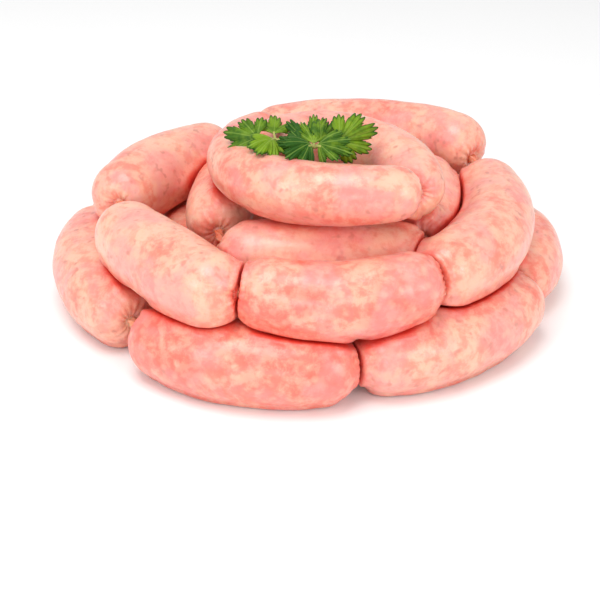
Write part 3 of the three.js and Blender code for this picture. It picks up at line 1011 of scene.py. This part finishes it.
@dataclass(frozen=True)
class LeafFinish:
    """Fresh parsley blade or stalk, lime to deep green."""

    name: str
    lime: Rgb
    deep: Rgb
    roughness: float
    vein: Rgb | None = None

    def make(self) -> bpy.types.Material:
        """Build the material."""
        material, bench, shader = new_material(self.name)
        blotches = bench.noise(bench.object_place(), 260.0, 3.0, 0.6)
        shade = bench.math("ADD", bench.attribute("green"), bench.ramp(blotches, 0.3, 0.7, -0.22, 0.22))
        color = bench.mix(bench.ramp(shade, 0.0, 1.0), self.lime, self.deep)
        height = blotches
        if self.vein:
            rim = bench.ramp(bench.attribute("rim"), 0.84, 1.0, 0.0, 0.9)
            color = bench.mix(rim, color, self.deep)
            veins = bench.attribute("vein")
            color = bench.mix(bench.ramp(veins, 0.35, 1.0, 0.0, 0.38), color, self.vein)
            height = bench.math("SUBTRACT", blotches, veins)
        relief = bench.add("ShaderNodeBump", {"Height": height, "Strength": 0.4, "Distance": 0.0003})
        rough = bench.ramp(blotches, 0.3, 0.7, self.roughness - 0.06, self.roughness + 0.1)
        bench.fill(shader, {
            "Base Color": color, "Roughness": rough, "Normal": relief.outputs["Normal"],
            "Specular IOR Level": 0.25, "Subsurface Weight": 0.12,
            "Subsurface Radius": (0.4, 1.0, 0.15), "Subsurface Scale": 0.0008,
        })
        return material


# The painted crease shade is a deep red mixed into the colour by the crease mask, standing in for shade in
# the creases; the wound casing reads no mask and takes only a trace of it.
CASING = CasingFinish(
    "moist_casing", fat=(0.88, 0.475, 0.34), lean=(0.80, 0.165, 0.115), bloom=(0.84, 0.30, 0.29),
    painted_crease_shade=(0.78, 0.05, 0.028), flecks=0.75, roughness=0.39, subsurface=0.4, depth=0.0035,
    coat=0.5, bump=0.45,
)
WOUND_CASING = CasingFinish(
    "wound_casing", fat=(0.85, 0.44, 0.27), lean=(0.72, 0.19, 0.10), bloom=(0.84, 0.36, 0.26),
    painted_crease_shade=(0.5, 0.07, 0.03),
    flecks=0.0, roughness=0.3, subsurface=0.6, depth=0.003, coat=0.4, bump=0.3, on_links=False,
)
LEAF = LeafFinish(
    "parsley_blade", lime=(0.17, 0.29, 0.006), deep=(0.018, 0.085, 0.003), roughness=0.55,
    vein=(0.26, 0.38, 0.06),
)
STALK = LeafFinish("parsley_stalk", lime=(0.42, 0.42, 0.12), deep=(0.20, 0.22, 0.06), roughness=0.4)


# ---- Studio ----


@dataclass
class SoftBox:
    """One soft light: where it stands, how wide it is and how bright."""

    name: str
    place: Place
    size: float
    power: float

    def build(self, aim: Vector) -> None:
        """Hang the light, facing the heap."""
        light = bpy.data.lights.new(self.name, "AREA")
        light.shape = "DISK"
        light.size = self.size
        light.energy = self.power
        lamp = bpy.data.objects.new(self.name, light)
        lamp.location = self.place
        lamp.rotation_euler = (aim - Vector(self.place)).to_track_quat("-Z", "Y").to_euler()
        bpy.context.scene.collection.objects.link(lamp)


@dataclass
class Studio:
    """A pale floor, soft lights and the camera."""

    floor_radius: float = 6.0
    floor_drop: float = 0.0002  # keeps the floor just under the part's lowest faces
    camera_place: Place = (-0.004396, -0.441642, 0.243659)
    camera_aim: Place = (-0.004396, -0.016502, -0.001101)
    camera_roll: float = math.radians(1.1)
    lens: float = 65.0
    air: Rgb = (1.0, 1.0, 1.0)
    air_strength: float = 0.66
    light_aim: Place = (0.0, 0.0, 0.04)
    lights: tuple[SoftBox, ...] = (
        SoftBox("soft_box_over", (-0.2, -0.25, 1.2), 0.7, 7.5),
        SoftBox("soft_box_left", (-0.9, -0.8, 0.75), 0.5, 3.6),
        SoftBox("soft_box_right", (0.9, -0.9, 0.6), 0.6, 4.5),
        SoftBox("soft_box_front", (-0.1, -1.25, 0.4), 0.3, 2.4),
    )

    def build_floor(self) -> None:
        """Lay a wide pale floor."""
        builder = bmesh.new()
        bmesh.ops.create_circle(builder, cap_ends=True, segments=96, radius=self.floor_radius)
        floor = new_object("floor", builder)
        floor.location.z = -self.floor_drop
        material, bench, shader = new_material("pale_floor")
        cloud = bench.noise(bench.object_place(), 3.0)
        color = bench.mix(cloud, (0.93, 0.93, 0.93), (0.90, 0.90, 0.90))
        bench.fill(shader, {"Base Color": color, "Roughness": 0.7, "Specular IOR Level": 0.2})
        floor.data.materials.append(material)

    def build_camera(self) -> None:
        """Set the camera at the heap's viewing angle."""
        camera = bpy.data.cameras.new("camera")
        camera.lens = self.lens
        camera.sensor_width = 36.0
        camera.clip_start = 0.01
        body = bpy.data.objects.new("camera", camera)
        look = (Vector(self.camera_aim) - Vector(self.camera_place)).to_track_quat("-Z", "Y")
        turn = look.to_matrix().to_4x4() @ Matrix.Rotation(self.camera_roll, 4, "Z")
        body.matrix_world = Matrix.Translation(self.camera_place) @ turn
        bpy.context.scene.collection.objects.link(body)
        bpy.context.scene.camera = body

    def build(self) -> None:
        """Set up the floor, the light and the camera."""
        self.build_floor()
        self.build_camera()
        world = bpy.data.worlds.new("soft_room")
        world.use_nodes = True
        background = world.node_tree.nodes["Background"]
        background.inputs["Color"].default_value = (*self.air, 1.0)
        background.inputs["Strength"].default_value = self.air_strength
        bpy.context.scene.world = world
        for light in self.lights:
            light.build(Vector(self.light_aim))
        bpy.context.scene.view_settings.view_transform = "Standard"


# ---- The whole scene ----


def dress(piece: bpy.types.Object, slot: str, nodes: tuple[str, ...], *materials: bpy.types.Material
          ) -> None:
    """Give a piece its materials, its slot and the plain solids it stands for.

    Args:
        piece: The piece.
        slot: Name of the part's material slot. Not used.
        nodes: Names of the solids that it replaces.
        materials: Its materials, in order.
    """
    for material in materials:
        piece.data.materials.append(material)
    if nodes:
        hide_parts(*nodes)
    log.info("%s: %d faces", piece.name, len(piece.data.polygons))


def main() -> None:
    """Build the string of links, the sprig and the studio."""
    logging.basicConfig(level=logging.INFO)
    skin_group = stuffed_skin_group()
    casing, wound = CASING.make(skin_group), WOUND_CASING.make(skin_group)

    string = StringOfLinks()
    string.lay_out()
    for number in range(len(LINKS)):
        dress(string.build_link(number), "casing", (f"link_{number + 1:02d}",), casing)
    for number in range(len(LINKS) - 1):
        dress(string.build_twist(number), "twisted_casing", (f"twist_{number + 1:02d}",), wound)
    for name, spine, end in (("tail_at_start", string.spines[0], 0), ("tail_at_end", string.spines[-1], 1)):
        dress(string.build_tail(name, spine, end), "twisted_casing", (), wound)

    sprig = ParsleySprig().build()
    dress(sprig, "parsley", ("parsley_sprig",), LEAF.make(), STALK.make())

    Studio().build()
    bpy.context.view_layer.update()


if __name__ == "__main__":
    main()
